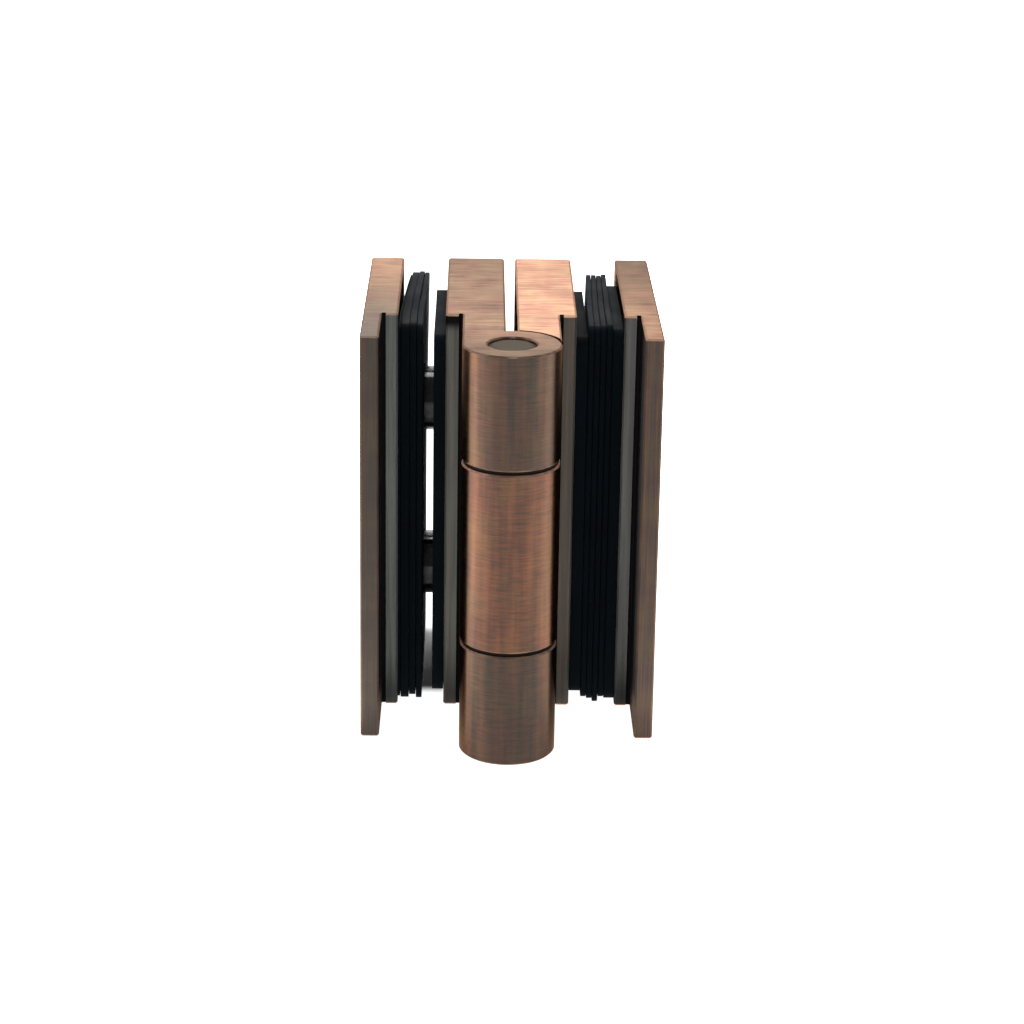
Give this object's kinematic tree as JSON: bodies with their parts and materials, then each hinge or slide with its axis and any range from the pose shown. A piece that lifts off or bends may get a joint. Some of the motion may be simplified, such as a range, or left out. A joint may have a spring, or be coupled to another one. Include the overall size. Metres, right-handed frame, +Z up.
{
  "type": "glass door hinge",
  "caption": "Glass to glass door hinge, folded shut: two pairs of rebated clamp plates with rubber packing sheets, joined by a round barrel of interleaved knuckles.",
  "frame": {"origin": "centre of the barrel's bottom face, on the pin axis", "axes": "+Z up along the pin, +Y from the barrel to the backs of the plates, +X towards the right leaf"},
  "size_m": [0.0634, 0.0841, 0.09],
  "materials": {
    "brushed_copper": "brushed antique copper plating on brass",
    "pin_steel": "turned steel, matt",
    "gasket_rubber": "matt black sheet rubber",
    "screw_steel": "black oxide",
    "black_nylon": "moulded black nylon",
    "bearing_nylon": "natural bearing nylon"
  },
  "bodies": {
    "left_leaf": {"left_knuckle_plate": "brushed_copper", "left_cover_plate": "brushed_copper", "left_outer_gasket_1": "gasket_rubber", "left_outer_gasket_2": "gasket_rubber", "left_outer_gasket_3": "gasket_rubber", "left_outer_gasket_4": "gasket_rubber", "left_inner_gasket": "gasket_rubber", "left_clamp_screw_lower": "screw_steel", "left_clamp_screw_upper": "screw_steel", "left_glass_bush_lower": "black_nylon", "left_glass_bush_upper": "black_nylon", "hinge_pin": "pin_steel", "thrust_washer_lower": "black_nylon", "thrust_washer_upper": "black_nylon"},
    "right_leaf": {"right_knuckle_plate": "brushed_copper", "right_cover_plate": "brushed_copper", "right_outer_gasket_1": "gasket_rubber", "right_outer_gasket_2": "gasket_rubber", "right_outer_gasket_3": "gasket_rubber", "right_outer_gasket_4": "gasket_rubber", "right_outer_gasket_5": "gasket_rubber", "right_inner_gasket": "gasket_rubber", "right_clamp_screw_lower": "screw_steel", "right_clamp_screw_upper": "screw_steel", "right_glass_bush_lower": "black_nylon", "right_glass_bush_upper": "black_nylon", "pivot_bush_lower": "bearing_nylon", "pivot_bush_upper": "bearing_nylon"}
  },
  "joints": [
    {"name": "leaf_swing", "type": "hinge", "parent": "left_leaf", "child": "right_leaf", "pos_m": [0, 0, 0.045], "axis": [0, 0, -1], "range_deg": [0, 180]}
  ]
}
